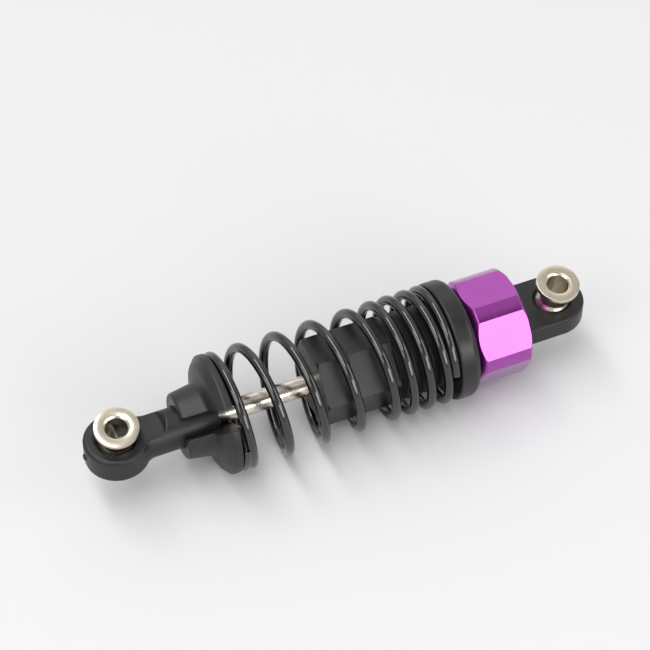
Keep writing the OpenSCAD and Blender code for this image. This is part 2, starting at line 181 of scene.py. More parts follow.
def turned(corners, steps=TURN_STEPS):
    """Turns a closed outline of (station, radius, rounding) corners about X, like work in a lathe."""
    bm = bmesh.new()
    new = [bm.verts.new((x, 0, radius)) for x, radius, _ in corners]
    outline = bm.faces.new(new)
    for size in sorted({c[2] for c in corners if c[2]}):
        rounded = [v for v, c in zip(new, corners) if c[2] == size]
        bmesh.ops.bevel(bm, geom=rounded, offset=size, offset_type="OFFSET", segments=4,
                        profile=0.5, affect="VERTICES", clamp_overlap=True, material=-1)
    outline = next(f for f in bm.faces if not f.hide)
    loop = [e for e in outline.edges if max(v.co.z for v in e.verts) > 1e-6]
    bmesh.ops.delete(bm, geom=[outline], context="FACES_ONLY")
    bmesh.ops.delete(bm, geom=[e for e in bm.edges if e not in loop], context="EDGES")
    bmesh.ops.spin(bm, geom=bm.verts[:] + bm.edges[:], cent=(0, 0, 0), axis=X_AXIS, angle=tau,
                   steps=steps, use_merge=True)
    bmesh.ops.remove_doubles(bm, verts=bm.verts, dist=1e-4)
    bmesh.ops.recalc_face_normals(bm, faces=bm.faces)
    return bm


def mill_flats(bm, across, turn):
    """Mills six flats on a turned piece: each cut takes off what stands past it and closes up."""
    for side in range(6):
        angle = radians(turn + 60 * side)
        out = Vector((0, cos(angle), sin(angle)))
        cut = bmesh.ops.bisect_plane(bm, geom=bm.verts[:] + bm.edges[:] + bm.faces[:], dist=1e-5,
                                     plane_co=out * across / 2, plane_no=out, clear_outer=True)
        rim = [e for e in cut["geom_cut"] if isinstance(e, bmesh.types.BMEdge)]
        bmesh.ops.holes_fill(bm, edges=rim, sides=0)
    bmesh.ops.recalc_face_normals(bm, faces=bm.faces)


def ease(bm, width, sharper=30, segments=3, where=lambda edge: True):
    """Rounds over the edges that turn through more than an angle."""
    edges = [e for e in bm.edges
             if len(e.link_faces) == 2 and e.calc_face_angle() > radians(sharper) and where(e)]
    bmesh.ops.bevel(bm, geom=edges, offset=width, offset_type="OFFSET", segments=segments,
                    profile=0.5, affect="EDGES", clamp_overlap=True, material=-1)


def loose(bm, name):
    """A mesh object that is still in millimetres."""
    mesh = bpy.data.meshes.new(name)
    bm.to_mesh(mesh)
    bm.free()
    piece = bpy.data.objects.new(name, mesh)
    bpy.context.scene.collection.objects.link(piece)
    return piece


def modified(bm, *modifiers):
    """Puts a mesh through modifiers, given as (kind, settings), and gives the result as a mesh."""
    piece = loose(bm, "work")
    for kind, settings in modifiers:
        step = piece.modifiers.new(kind, kind)
        for name, value in settings.items():
            setattr(step, name, value)
    evaluated = piece.evaluated_get(bpy.context.evaluated_depsgraph_get())
    result = bmesh.new()
    result.from_mesh(evaluated.to_mesh())
    evaluated.to_mesh_clear()
    bpy.data.objects.remove(piece)
    return result


def combined(bm, operation, *tools):
    """Joins tools to a mesh, or cuts them out of it."""
    for tool in tools:
        cutter = loose(tool, "cutter")
        bm = modified(bm, ("BOOLEAN", {"operation": operation, "solver": "EXACT", "object": cutter}))
        bpy.data.objects.remove(cutter)
    return bm


def make_piece(bm, name, material, body, slot, *nodes, crease=35, weighted=True):
    """Brings a mesh to metres and makes it a finished piece that rides on a body for CAD nodes."""
    bmesh.ops.remove_doubles(bm, verts=bm.verts, dist=1e-4)
    bmesh.ops.scale(bm, vec=(MM, MM, MM), verts=bm.verts)
    for face in bm.faces:
        face.smooth = True
    for edge in bm.edges:
        edge.smooth = len(edge.link_faces) == 2 and edge.calc_face_angle() < radians(crease)
    piece = loose(bm, name)
    piece.data.materials.append(material)
    if weighted:
        shading = piece.modifiers.new("even_shading", "WEIGHTED_NORMAL")
        shading.keep_sharp = True
    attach(piece, body)
    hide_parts(*nodes)
    return piece


def moulded_nylon(name, colour, roughness, grain):
    """Black nylon as it leaves a spark-eroded mould: satin, faintly mottled, with a fine even grain."""
    nylon, shader = finish_named(name)
    place = add(nylon, "ShaderNodeTexCoord").outputs["Object"]
    # Cloudy patches about 3 mm wide, where the glass fibres lie nearer the surface
    patches = add(nylon, "ShaderNodeTexNoise",
                  {"Vector": place, "Scale": 1 / (3.0 * MM), "Detail": 3.0, "Roughness": 0.6})
    # The eroded grain is near 0.03 mm; it is drawn at 0.16 mm so that it shows
    pits = add(nylon, "ShaderNodeTexNoise",
               {"Vector": place, "Scale": 1 / (0.16 * MM), "Detail": 2.0, "Roughness": 0.5})
    tone = add(nylon, "ShaderNodeValToRGB", {"Fac": patches.outputs["Fac"]})
    for stop, (position, share) in zip(tone.color_ramp.elements, ((0.35, 0.75), (0.68, 1.35))):
        stop.position = position
        stop.color = [c * share for c in linear(colour)[:3]] + [1.0]
    link(nylon, tone.outputs["Color"], shader.inputs["Base Color"])
    rough = add(nylon, "ShaderNodeMapRange",
                {"Value": patches.outputs["Fac"], "From Min": 0.3, "From Max": 0.7,
                 "To Min": roughness - 0.06, "To Max": roughness + 0.07})
    link(nylon, rough.outputs["Result"], shader.inputs["Roughness"])
    bump = add(nylon, "ShaderNodeBump",
               {"Height": pits.outputs["Fac"], "Strength": grain, "Distance": 0.02 * MM})
    link(nylon, bump.outputs["Normal"], shader.inputs["Normal"])
    shader.inputs["IOR"].default_value = 1.53
    shader.inputs["Specular IOR Level"].default_value = 0.36
    return nylon


cap_low, cap_high = span("cylinder_cap")
body_low, body_high = span("cylinder_body")
cartridge_low, cartridge_high = span("cartridge_cap")
bore_r = 4.8
neck_r = 5.5
crest_r = 6.2
root_r = 5.9
thread_pitch = 0.9
thread_sink = 0.2
barrel_across = 11.2
barrel_turn = 18
hex_len = 6.6
blank_r = 7.0
hex_foot = cartridge_high.x
hex_top = hex_foot + hex_len
neck_foot = cap_low.x
neck_top = body_high.x
spigot_foot = body_low.x
spigot_r = 4.1
spigot_sink = 1.0
chamber_r = 3.0
chamber_len = 5.2
chamber_top = spigot_foot + chamber_len
partition = 0.8
rod_r = 1.5
rod_hole_r = rod_r + 0.05

hexagon = turned([(hex_foot, 0, 0), (hex_foot, blank_r, 0), (hex_top, blank_r, 0), (hex_top, 0, 0)])
mill_flats(hexagon, barrel_across, barrel_turn)
ease(hexagon, 0.22)

# One pitch of the thread's outline, wound up the barrel past both ends and then trimmed square
thread = bmesh.new()
thread_turns = ceil((neck_foot - hex_top) / thread_pitch) + 3
thread_start = hex_top - 2 * thread_pitch
outline = [(0.0, root_r), (0.1, root_r), (0.38, crest_r), (0.62, crest_r), (0.9, root_r), (1.0, root_r)]
ridge = [thread.verts.new((thread_start + thread_pitch * part, 0, radius)) for part, radius in outline]
for a, b in zip(ridge, ridge[1:]):
    thread.edges.new((a, b))
bmesh.ops.spin(thread, geom=thread.verts[:] + thread.edges[:], cent=(0, 0, 0), axis=X_AXIS,
               dvec=(thread_pitch / TURN_STEPS, 0, 0), angle=tau * thread_turns,
               steps=TURN_STEPS * thread_turns)
bmesh.ops.remove_doubles(thread, verts=thread.verts, dist=1e-4)
for station, way in ((hex_top - thread_sink, -1), (neck_foot, 1)):
    cut = bmesh.ops.bisect_plane(thread, geom=thread.verts[:] + thread.edges[:] + thread.faces[:],
                                 dist=1e-5, plane_co=(station, 0, 0), plane_no=(way, 0, 0),
                                 clear_outer=True)
    bmesh.ops.holes_fill(thread, edges=[e for e in cut["geom_cut"]
                                        if isinstance(e, bmesh.types.BMEdge)], sides=0)
bmesh.ops.recalc_face_normals(thread, faces=thread.faces)

spigot_and_neck = turned([
    (spigot_foot, 0, 0), (spigot_foot, spigot_r, 0.2), (hex_foot + spigot_sink, spigot_r, 0),
    (hex_foot + spigot_sink, neck_r, 0), (neck_top, neck_r, 0.15), (neck_top, 0, 0)])
bore = turned([
    (spigot_foot - 1, 0, 0), (spigot_foot - 1, chamber_r, 0), (chamber_top, chamber_r, 0),
    (chamber_top, rod_hole_r, 0), (chamber_top + partition, rod_hole_r, 0),
    (chamber_top + partition, bore_r, 0),
    (neck_top + 1, bore_r, 0), (neck_top + 1, 0, 0)])
barrel = combined(hexagon, "UNION", thread, spigot_and_neck)
barrel = combined(barrel, "DIFFERENCE", bore)
barrel_nylon = moulded_nylon("glass_filled_nylon_moulded", "171719", 0.40, 0.35)
make_piece(barrel, "barrel", barrel_nylon, "damper", "barrel_nylon", "cylinder_body")


# ---- Cartridge cap: cartridge_cap -----------------------------------------------------------
# The nut that keeps the rod's seals in the spigot, moulded in the same black nylon. Its hexagon
# lines up with the barrel's, its edges are eased by the mould, and the rod comes out of it.
cartridge_foot, cartridge_top = cartridge_low.x, cartridge_high.x
end_wall = 0.8
corner_trim = 0.35
trim_r = barrel_across / 2 / cos(radians(30)) - corner_trim
trim_slope = 0.7
screw_room = 0.02
rod_room = 0.3
seam = 0.05

cartridge = turned([
    (cartridge_foot, rod_r + rod_room, 0.15), (cartridge_foot, trim_r, 0),
    (cartridge_foot + trim_slope, trim_r + trim_slope, 0),
    (cartridge_top - seam, trim_r + trim_slope, 0), (cartridge_top - seam, spigot_r + screw_room, 0),
    (cartridge_foot + end_wall, spigot_r + screw_room, 0),
    (cartridge_foot + end_wall, rod_r + rod_room, 0)])
mill_flats(cartridge, barrel_across, barrel_turn)
ease(cartridge, 0.2, where=lambda e: max(v.co.yz.length for v in e.verts) > 5.3)
make_piece(cartridge, "cartridge_nut", barrel_nylon, "damper", "barrel_nylon", "cartridge_cap")


# ---- Rod seals: guides, O-rings and spacer --------------------------------------------------
# Two turned acetal guide washers and two red silicone O-rings, with a washer between them, sit in
# the spigot around the rod. The cartridge cap holds them in.
acetal, shader = finish_named("acetal_turned")
place = add(acetal, "ShaderNodeTexCoord").outputs["Object"]
# Tool marks of a turned face, 0.08 mm apart, seen as rings about the damper's axis
stretch = add(acetal, "ShaderNodeMapping", {"Vector": place, "Scale": (0.0, 1.0, 1.0)})
rings = add(acetal, "ShaderNodeTexWave",
            {"Vector": stretch.outputs["Vector"], "Scale": 0.314 / (0.08 * MM), "Distortion": 0.4},
            wave_type="RINGS", rings_direction="X")
milky = add(acetal, "ShaderNodeTexNoise", {"Vector": place, "Scale": 1 / (1.2 * MM), "Detail": 2.0})
tone = add(acetal, "ShaderNodeMix",
           {"Factor": milky.outputs["Fac"], "A": linear("E9E6DC"), "B": linear("F4F2EB")},
           data_type="RGBA")
link(acetal, tone.outputs["Result"], shader.inputs["Base Color"])
bump = add(acetal, "ShaderNodeBump",
           {"Height": rings.outputs["Fac"], "Strength": 0.2, "Distance": 0.01 * MM})
link(acetal, bump.outputs["Normal"], shader.inputs["Normal"])
shader.inputs["Roughness"].default_value = 0.38
shader.inputs["Subsurface Weight"].default_value = 0.1
shader.inputs["Subsurface Scale"].default_value = 0.5 * MM

silicone, shader = finish_named("silicone_moulded")
place = add(silicone, "ShaderNodeTexCoord").outputs["Object"]
# Moulded silicone is even in colour with a soft bloom; the bloom's patches are near 0.8 mm
bloom = add(silicone, "ShaderNodeTexNoise", {"Vector": place, "Scale": 1 / (0.8 * MM), "Detail": 3.0})
tone = add(silicone, "ShaderNodeMix",
           {"Factor": bloom.outputs["Fac"], "A": linear("8E2A1C"), "B": linear("B23C2A")},
           data_type="RGBA")
link(silicone, tone.outputs["Result"], shader.inputs["Base Color"])
rough = add(silicone, "ShaderNodeMapRange",
            {"Value": bloom.outputs["Fac"], "To Min": 0.35, "To Max": 0.6})
link(silicone, rough.outputs["Result"], shader.inputs["Roughness"])
shader.inputs["IOR"].default_value = 1.41

for name in ("rod_guide_lower", "rod_guide_upper", "rod_seal_spacer", "piston"):
    frame["nodes"][name].material_slots[0].material = acetal
for name in ("rod_seal_lower", "rod_seal_upper"):
    frame["nodes"][name].material_slots[0].material = silicone


# ---- Piston clips, bladder and friction ring ------------------------------------------------
# Stamped spring-steel clips hold the acetal piston in the rod's groove. The bladder is a cup of
# moulded rubber clamped between neck and cap, and the same rubber makes the ring that stops the
# spring collar from turning by itself.
clip_steel, shader = finish_named("spring_steel_stamped")
place = add(clip_steel, "ShaderNodeTexCoord").outputs["Object"]
# Blued strip has soft streaks along its rolling direction, about 0.3 mm wide
streaks = add(clip_steel, "ShaderNodeMapping",
              {"Vector": place, "Scale": (1 / (2.5 * MM), 1 / (0.3 * MM), 1 / (2.5 * MM))})
temper = add(clip_steel, "ShaderNodeTexNoise", {"Vector": streaks.outputs["Vector"], "Scale": 1.0})
tone = add(clip_steel, "ShaderNodeMix",
           {"Factor": temper.outputs["Fac"], "A": linear("77777C"), "B": linear("9A9998")},
           data_type="RGBA")
link(clip_steel, tone.outputs["Result"], shader.inputs["Base Color"])
rough = add(clip_steel, "ShaderNodeMapRange",
            {"Value": temper.outputs["Fac"], "To Min": 0.22, "To Max": 0.42})
link(clip_steel, rough.outputs["Result"], shader.inputs["Roughness"])
shader.inputs["Metallic"].default_value = 1.0

rubber, shader = finish_named("nitrile_rubber_moulded")
place = add(rubber, "ShaderNodeTexCoord").outputs["Object"]
# Talc and wax bloom leave it dull grey-black in patches near 1 mm
dust = add(rubber, "ShaderNodeTexNoise", {"Vector": place, "Scale": 1 / (1.0 * MM), "Detail": 4.0})
tone = add(rubber, "ShaderNodeMix",
           {"Factor": dust.outputs["Fac"], "A": linear("1C1C1C"), "B": linear("323130")},
           data_type="RGBA")
link(rubber, tone.outputs["Result"], shader.inputs["Base Color"])
rough = add(rubber, "ShaderNodeMapRange", {"Value": dust.outputs["Fac"], "To Min": 0.55, "To Max": 0.85})
link(rubber, rough.outputs["Result"], shader.inputs["Roughness"])
shader.inputs["IOR"].default_value = 1.52

for name in ("piston_clip_lower", "piston_clip_upper"):
    frame["nodes"][name].material_slots[0].material = clip_steel
for name in ("bladder", "collar_friction_ring"):
    frame["nodes"][name].material_slots[0].material = rubber


# ---- Piston rod: piston_rod -----------------------------------------------------------------
# Ground steel, plated bright, with a groove near its tip for the clips. Oil film and dust leave
# faint brown smears on it, and the seals have drawn hair-fine scratches along it.
rod_low, rod_high = span("piston_rod")
clip_low, clip_high = span("piston_clip_lower")[0].x, span("piston_clip_upper")[1].x
groove_r = rod_r - 0.35
point = 0.3

rod = turned([
    (rod_low.x, 0, 0), (rod_low.x, rod_r, point), (clip_low, rod_r, 0), (clip_low, groove_r, 0),
    (clip_high, groove_r, 0), (clip_high, rod_r, 0), (rod_high.x, rod_r, point), (rod_high.x, 0, 0)],
    steps=96)
rod_steel, shader = finish_named("steel_ground_and_plated")
place = add(rod_steel, "ShaderNodeTexCoord").outputs["Object"]
smear_room = add(rod_steel, "ShaderNodeMapping",
                 {"Vector": place, "Scale": (1 / (2.2 * MM), 1 / (0.7 * MM), 1 / (0.7 * MM))})
smear = add(rod_steel, "ShaderNodeTexNoise",
            {"Vector": smear_room.outputs["Vector"], "Scale": 1.0, "Detail": 5.0, "Roughness": 0.65})
# Grinding leaves rings near 0.02 mm apart; they are drawn at 0.15 mm so that they show
grind_room = add(rod_steel, "ShaderNodeMapping",
                 {"Vector": place, "Scale": (1 / (0.15 * MM), 1 / (4 * MM), 1 / (4 * MM))})
grind = add(rod_steel, "ShaderNodeTexNoise",
            {"Vector": grind_room.outputs["Vector"], "Scale": 1.0, "Detail": 2.0})
tone = add(rod_steel, "ShaderNodeValToRGB", {"Fac": smear.outputs["Fac"]})
tone.color_ramp.elements[0].position = 0.34
tone.color_ramp.elements[0].color = linear("A0968A")
tone.color_ramp.elements[1].position = 0.5
tone.color_ramp.elements[1].color = linear("DDD6CB")
link(rod_steel, tone.outputs["Color"], shader.inputs["Base Color"])
rough = add(rod_steel, "ShaderNodeMapRange",
            {"Value": smear.outputs["Fac"], "From Min": 0.35, "From Max": 0.6,
             "To Min": 0.34, "To Max": 0.14})
link(rod_steel, rough.outputs["Result"], shader.inputs["Roughness"])
bump = add(rod_steel, "ShaderNodeBump",
           {"Height": grind.outputs["Fac"], "Strength": 0.25, "Distance": 0.01 * MM})
link(rod_steel, bump.outputs["Normal"], shader.inputs["Normal"])
shader.inputs["Metallic"].default_value = 1.0
make_piece(rod, "piston_shaft", rod_steel, "rod", "rod_steel", "piston_rod")


# ---- Cap: cylinder_cap ----------------------------------------------------------------------
# Turned from hexagonal aluminium bar, so its corners are round and each end has a turned chamfer
# that meets the flats in arcs. It is anodised purple: a clear glossy oxide over a bright metal.
cap_foot, cap_top = cap_low.x, cap_high.x
cap_across = 14.46
cap_r = 7.78
cap_turn = 24
foot_chamfer = 0.95
top_chamfer = 0.45
stem_r = 2.3
air_floor = cap_top - 3.0
rim_top = span("bladder")[1].x
vent_r = 0.4

cap = turned([
    (cap_foot, cap_r - foot_chamfer, 0.06), (cap_foot + foot_chamfer, cap_r, 0.06),
    (cap_top - top_chamfer, cap_r, 0.06), (cap_top, cap_r - top_chamfer, 0.06),
    (cap_top, stem_r + screw_room, 0.06), (air_floor, stem_r + screw_room, 0),
    (air_floor, bore_r - 0.4, 0), (rim_top, bore_r - 0.4, 0), (rim_top, neck_r + screw_room, 0),
    (cap_foot, neck_r + screw_room, 0.15)])
mill_flats(cap, cap_across, cap_turn)
ease(cap, 0.09, sharper=12, segments=2,
     where=lambda e: any(abs(f.normal.x) < 1e-3 and len(f.verts) > 6 for f in e.link_faces))
vent = turned([(air_floor - 0.5, 0, 0), (air_floor - 0.5, vent_r, 0), (cap_top + 1, vent_r, 0),
               (cap_top + 1, 0, 0)], steps=32)
bmesh.ops.translate(vent, verts=vent.verts, vec=(0, 0, stem_r + 1.2))
cap = combined(cap, "DIFFERENCE", vent)

anodised, shader = finish_named("anodised_aluminium_machined")
place = add(anodised, "ShaderNodeTexCoord").outputs["Object"]
# Cutter marks run across the damper's axis. They are near 0.05 mm apart, drawn at 0.11 mm to show
cut_room = add(anodised, "ShaderNodeMapping",
               {"Vector": place, "Scale": (1 / (0.11 * MM), 1 / (9 * MM), 1 / (9 * MM))})
cuts = add(anodised, "ShaderNodeTexNoise",
           {"Vector": cut_room.outputs["Vector"], "Scale": 1.0, "Detail": 3.0, "Roughness": 0.6})
# The dye takes a little unevenly, over about 5 mm
dye = add(anodised, "ShaderNodeTexNoise", {"Vector": place, "Scale": 1 / (5 * MM), "Detail": 2.0})
depth = add(anodised, "ShaderNodeMath", {0: cuts.outputs["Fac"], 1: dye.outputs["Fac"]},
            operation="ADD")
tone = add(anodised, "ShaderNodeMapRange",
           {"Value": depth.outputs["Value"], "From Min": 0.7, "From Max": 1.3})
purple = add(anodised, "ShaderNodeMix",
             {"Factor": tone.outputs["Result"], "A": linear("A03BA3"), "B": linear("A843AA")},
             data_type="RGBA")
link(anodised, purple.outputs["Result"], shader.inputs["Base Color"])
rough = add(anodised, "ShaderNodeMapRange",
            {"Value": cuts.outputs["Fac"], "From Min": 0.3, "From Max": 0.7, "To Min": 0.2, "To Max": 0.3})
link(anodised, rough.outputs["Result"], shader.inputs["Roughness"])
bump = add(anodised, "ShaderNodeBump",
           {"Height": cuts.outputs["Fac"], "Strength": 0.05, "Distance": 0.01 * MM})
link(anodised, bump.outputs["Normal"], shader.inputs["Normal"])
shader.inputs["Metallic"].default_value = 1.0
shader.inputs["Coat Weight"].default_value = 0.9
shader.inputs["Coat Roughness"].default_value = 0.08
make_piece(cap, "purple_cap", anodised, "damper", "cap_purple", "cylinder_cap", crease=25)


# ---- Upper eye: upper_eye -------------------------------------------------------------------
# A flat lug of black nylon with a round end and a stem that screws into the cap. The pivot ball
# snaps into the spherical seat in its middle, and its edges are rounded by the mould.
eye_r = 4.6
upper_thick = 3.2
seat_r = 2.95
race_half = 1.2


def eye_seat(thick):
    """What is cut out of an eye for its ball: a sphere, with a shallow cone at each face."""
    mouth_r = sqrt(seat_r ** 2 - race_half ** 2)
    relief = thick / 2 - race_half
    ball = bmesh.new()
    bmesh.ops.create_uvsphere(ball, u_segments=96, v_segments=48, radius=seat_r)
    cones = []
    for side in (1, -1):
        cone = bmesh.new()
        reach = relief + 0.5
        bmesh.ops.create_cone(cone, cap_ends=True, segments=96, radius1=mouth_r, depth=reach,
                              radius2=mouth_r + reach / 2)
        bmesh.ops.translate(cone, verts=cone.verts, vec=(0, 0, race_half + reach / 2))
        if side < 0:
            bmesh.ops.rotate(cone, verts=cone.verts, matrix=Matrix.Rotation(tau / 2, 3, "X"))
        cones.append(cone)
    return [ball] + cones


lug = bmesh.new()
bmesh.ops.create_circle(lug, cap_ends=True, segments=128, radius=eye_r)
bmesh.ops.delete(lug, geom=[v for v in lug.verts if v.co.x < -1e-4], context="VERTS")
tips = sorted((v for v in lug.verts if abs(v.co.x) < 1e-4), key=lambda v: v.co.y)
corners = [lug.verts.new((cap_top, tip.co.y, 0)) for tip in tips]
for a, b in ((tips[0], corners[0]), (corners[0], corners[1]), (corners[1], tips[1])):
    lug.edges.new((a, b))
bmesh.ops.contextual_create(lug, geom=lug.edges[:])
bmesh.ops.translate(lug, verts=lug.verts, vec=(0, 0, -upper_thick / 2))
walls_up = bmesh.ops.extrude_face_region(lug, geom=lug.faces[:])
bmesh.ops.translate(lug, verts=[v for v in walls_up["geom"] if isinstance(v, bmesh.types.BMVert)],
                    vec=(0, 0, upper_thick))
bmesh.ops.recalc_face_normals(lug, faces=lug.faces)
ease(lug, 0.35, segments=4, where=lambda e: max(v.co.x for v in e.verts) > cap_top + 0.1)
stem = turned([(air_floor, 0, 0), (air_floor, stem_r, 0.25), (cap_top + 0.3, stem_r, 0),
               (cap_top + 0.3, 0, 0)], steps=96)
lug = combined(lug, "UNION", stem)
lug = combined(lug, "DIFFERENCE", *eye_seat(upper_thick))
eye_nylon = moulded_nylon("nylon_moulded", "19191B", 0.42, 0.3)
make_piece(lug, "upper_lug", eye_nylon, "damper", "eye_nylon", "upper_eye")


# ---- Pivot balls: upper_pivot_ball and lower_pivot_ball --------------------------------------
# Turned steel balls with a neck, a flange and a hole for an M3 screw, plated with warm nickel.
# Each sits in its eye leaning a little, and its flat faces show fine rings from the lathe.
ball_r = 2.9
hole_r = 1.55
ball_neck_r = 2.0
flange_r = 3.15
flange_top = 5.6
flange_len = 0.8
ball_base = 2.2
Y_AXIS = Vector((0, 1, 0))


def pivot_ball(lean):
    """A flanged ball on its own hole's axis, stood up along Z and leaned."""
    bm = bmesh.new()
    base_r = sqrt(ball_r ** 2 - ball_base ** 2)
    neck_at = sqrt(ball_r ** 2 - ball_neck_r ** 2)
    start = bm.verts.new((-ball_base, 0, base_r))
    turn = atan2(neck_at, ball_neck_r) + atan2(ball_base, base_r)
    arc = bmesh.ops.spin(bm, geom=[start], cent=(0, 0, 0), axis=Y_AXIS, angle=turn, steps=24)
    last = next(v for v in arc["geom_last"] if isinstance(v, bmesh.types.BMVert))
    under = flange_top - flange_len
    profile = [
        (neck_at + 0.25, ball_neck_r - 0.06), (under - 0.5, ball_neck_r - 0.06),
        (under - 0.12, ball_neck_r + 0.1), (under, ball_neck_r + 0.45), (under, flange_r - 0.14),
        (under + 0.04, flange_r - 0.04), (under + 0.14, flange_r), (flange_top - 0.14, flange_r),
        (flange_top - 0.04, flange_r - 0.04), (flange_top, flange_r - 0.14),
        (flange_top, hole_r + 0.32), (flange_top - 0.03, hole_r + 0.26), (flange_top - 0.3, hole_r),
        (-ball_base + 0.15, hole_r), (-ball_base, hole_r + 0.15)]
    for station, radius in profile:
        after = bm.verts.new((station, 0, radius))
        bm.edges.new((last, after))
        last = after
    bm.edges.new((last, start))
    bmesh.ops.spin(bm, geom=bm.verts[:] + bm.edges[:], cent=(0, 0, 0), axis=X_AXIS, angle=tau,
                   steps=TURN_STEPS, use_merge=True)
    bmesh.ops.remove_doubles(bm, verts=bm.verts, dist=1e-4)
    bmesh.ops.recalc_face_normals(bm, faces=bm.faces)
    bmesh.ops.rotate(bm, verts=bm.verts, matrix=lean @ Matrix.Rotation(-tau / 4, 3, "Y"))
    return bm


def nickel_plate(name, centre, lean):
    """Nickel over turned steel: warm and bright, with lathe rings round this ball's own axis."""
    nickel, shader = finish_named(name)
    place = add(nickel, "ShaderNodeTexCoord").outputs["Object"]
    moved = add(nickel, "ShaderNodeVectorMath", {0: place, 1: centre * MM}, operation="SUBTRACT")
    upright = add(nickel, "ShaderNodeMapping",
                  {"Vector": moved.outputs["Vector"], "Rotation": lean.inverted().to_euler()})
    # Lathe rings are near 0.06 mm apart; they are drawn at 0.2 mm so that they show
    rings = add(nickel, "ShaderNodeTexWave",
                {"Vector": upright.outputs["Vector"], "Scale": 0.314 / (0.2 * MM), "Distortion": 1.2,
                 "Detail": 2.0, "Detail Scale": 0.4},
                wave_type="RINGS", rings_direction="Z")
    cloud = add(nickel, "ShaderNodeTexNoise",
                {"Vector": place, "Scale": 1 / (1.4 * MM), "Detail": 4.0, "Roughness": 0.6})
    tone = add(nickel, "ShaderNodeMix",
               {"Factor": cloud.outputs["Fac"], "A": linear("C4BAA6"), "B": linear("DBD3C2")},
               data_type="RGBA")
    link(nickel, tone.outputs["Result"], shader.inputs["Base Color"])
    worn = add(nickel, "ShaderNodeMath", {0: rings.outputs["Fac"], 1: cloud.outputs["Fac"]},
               operation="MULTIPLY")
    rough = add(nickel, "ShaderNodeMapRange",
                {"Value": worn.outputs["Value"], "To Min": 0.22, "To Max": 0.34})
    link(nickel, rough.outputs["Result"], shader.inputs["Roughness"])
    bump = add(nickel, "ShaderNodeBump",
               {"Height": rings.outputs["Fac"], "Strength": 0.05, "Distance": 0.02 * MM})
    link(nickel, bump.outputs["Normal"], shader.inputs["Normal"])
    shader.inputs["Metallic"].default_value = 1.0
    return nickel


lower_x = frame["record"]["mounts"][1]["pos_m"][0] / MM
for name, node, body, x, lean_back, lean_up in (
        ("upper_ball_piece", "upper_pivot_ball", "upper_ball", 0.0, 8, 3),
        ("lower_ball_piece", "lower_pivot_ball", "lower_ball", lower_x, 10, 0)):
    lean = Matrix.Rotation(radians(lean_up), 3, "Y") @ Matrix.Rotation(radians(lean_back), 3, "X")
    ball = pivot_ball(lean)
    bmesh.ops.translate(ball, verts=ball.verts, vec=(x, 0, 0))
    plate = nickel_plate("nickel_plated_steel_" + node[:5], Vector((x, 0, 0)), lean)
    make_piece(ball, name, plate, body, "ball_nickel", node)


# ---- Spring collar: spring_collar -----------------------------------------------------------
# The nut that sets the spring's preload, moulded in black nylon. It runs on the barrel's thread,
# with a groove inside for the friction ring, and its edge next to the cap is well rounded.
collar_low, collar_high = span("spring_collar")
collar_foot, collar_top = collar_low.x, collar_high.x
spring_r = collar_high.z
collar_bore_r = crest_r + 0.05
groove_len = 1.0
ring_seat_r = collar_bore_r + 0.95
groove_foot = (collar_foot + collar_top - groove_len) / 2
groove_top = groove_foot + groove_len

collar = turned([
    (collar_foot, collar_bore_r, 0.1), (collar_foot, spring_r, 0.35), (collar_top, spring_r, 1.1),
    (collar_top, collar_bore_r, 0.1), (groove_top, collar_bore_r, 0), (groove_top, ring_seat_r, 0),
    (groove_foot, ring_seat_r, 0), (groove_foot, collar_bore_r, 0)], steps=192)
collar_nylon = moulded_nylon("nylon_moulded_and_tumbled", "1C1C1E", 0.36, 0.25)
make_piece(collar, "preload_collar", collar_nylon, "collar", "collar_nylon", "spring_collar")


# ---- Spring perch: lower_spring_perch -------------------------------------------------------
# The spring's lower seat, moulded in black nylon: a disc on a hub that cups the eye's shank. A
# slot down one side lets it slip over the rod, and the spring holds it in place.
perch_low, perch_high = span("lower_spring_perch")
hub_foot, lip_top = perch_low.x, perch_high.x
lip_len = 0.9
rim_len = 1.1
back_len = 1.0
back_drop = 1.1
slope_len = 0.7
web_len = 1.0
seat_x = lip_top - lip_len
rim_x = seat_x - rim_len
back_x = rim_x - back_len
hub_top = back_x - slope_len
web_foot = seat_x - web_len
hub_r = 4.75
hub_top_r = 5.3
back_r = spring_r - back_drop
cup_r = 3.05
lip_r = 7.05
slot_wide = 3.15
slot_reach = 12
slot_turn = 43

perch = turned([
    (hub_foot, cup_r, 0.2), (hub_foot, hub_r, 0.35), (hub_top, hub_top_r, 0.3),
    (back_x, back_r, 0.3), (rim_x, spring_r, 0.15), (seat_x, spring_r, 0.2),
    (seat_x, lip_r, 0.1), (lip_top, lip_r, 0.3), (lip_top, rod_hole_r, 0.1),
    (web_foot, rod_hole_r, 0), (web_foot, cup_r, 0)])
slot = bmesh.new()
bmesh.ops.create_cube(slot, size=1.0)
slot_len = lip_top - hub_foot + 2
bmesh.ops.scale(slot, verts=slot.verts, vec=(slot_len, slot_reach, slot_wide))
bmesh.ops.translate(slot, verts=slot.verts, vec=((hub_foot + lip_top) / 2, slot_reach / 2, 0))
bmesh.ops.rotate(slot, verts=slot.verts, cent=(0, 0, 0),
                 matrix=Matrix.Rotation(radians(180 - slot_turn), 3, "X"))
perch = combined(perch, "DIFFERENCE", slot)
soft_mould = ("REMESH", {"mode": "VOXEL", "voxel_size": 0.11})
perch = modified(perch, soft_mould, ("SMOOTH", {"factor": 0.5, "iterations": 3}))
perch_nylon = moulded_nylon("nylon_moulded_satin", "1F1F21", 0.42, 0.3)
make_piece(perch, "spring_seat", perch_nylon, "perch", "perch_nylon", "lower_spring_perch",
           crease=60, weighted=False)


